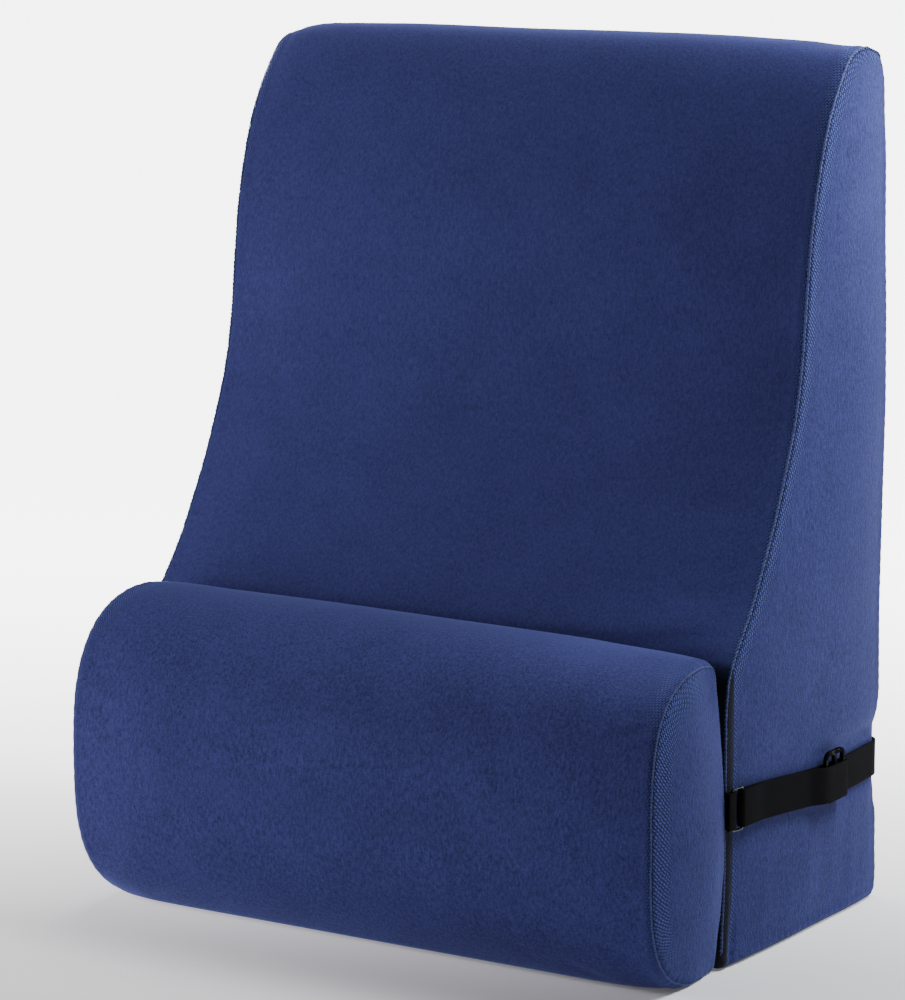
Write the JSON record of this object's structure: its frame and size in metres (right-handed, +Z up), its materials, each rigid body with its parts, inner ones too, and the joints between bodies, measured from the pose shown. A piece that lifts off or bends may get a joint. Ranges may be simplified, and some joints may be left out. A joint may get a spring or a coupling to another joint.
{
  "type": "wedge pillow",
  "caption": "Tall backrest wedge pillow in blue velour with a curved front, and a half-moon bolster strapped to its foot by black webbing.",
  "frame": {"origin": "bottom centre of the whole pillow's box, on the surface it stands on", "axes": "+Z up, -Y towards the reader (the bolster's side), +Y towards the flat back, +X along the width towards the side with the link and slider"},
  "size_m": [0.4706, 0.318, 0.5825],
  "materials": {
    "velour": "short-pile navy blue velour with fine upright ribs",
    "bolster_velour": "short-pile navy blue velour, its ground showing where it is stretched at the end seams",
    "webbing": "matte black woven webbing",
    "wire": "glossy black coated wire",
    "plastic": "glossy black moulded plastic"
  },
  "bodies": {
    "root": {"wedge_cushion": "velour", "bolster_cushion": "bolster_velour", "strap_webbing": "webbing", "tab_webbing": "webbing", "link_ring": "wire", "strap_slider": "plastic"}
  },
  "joints": []
}
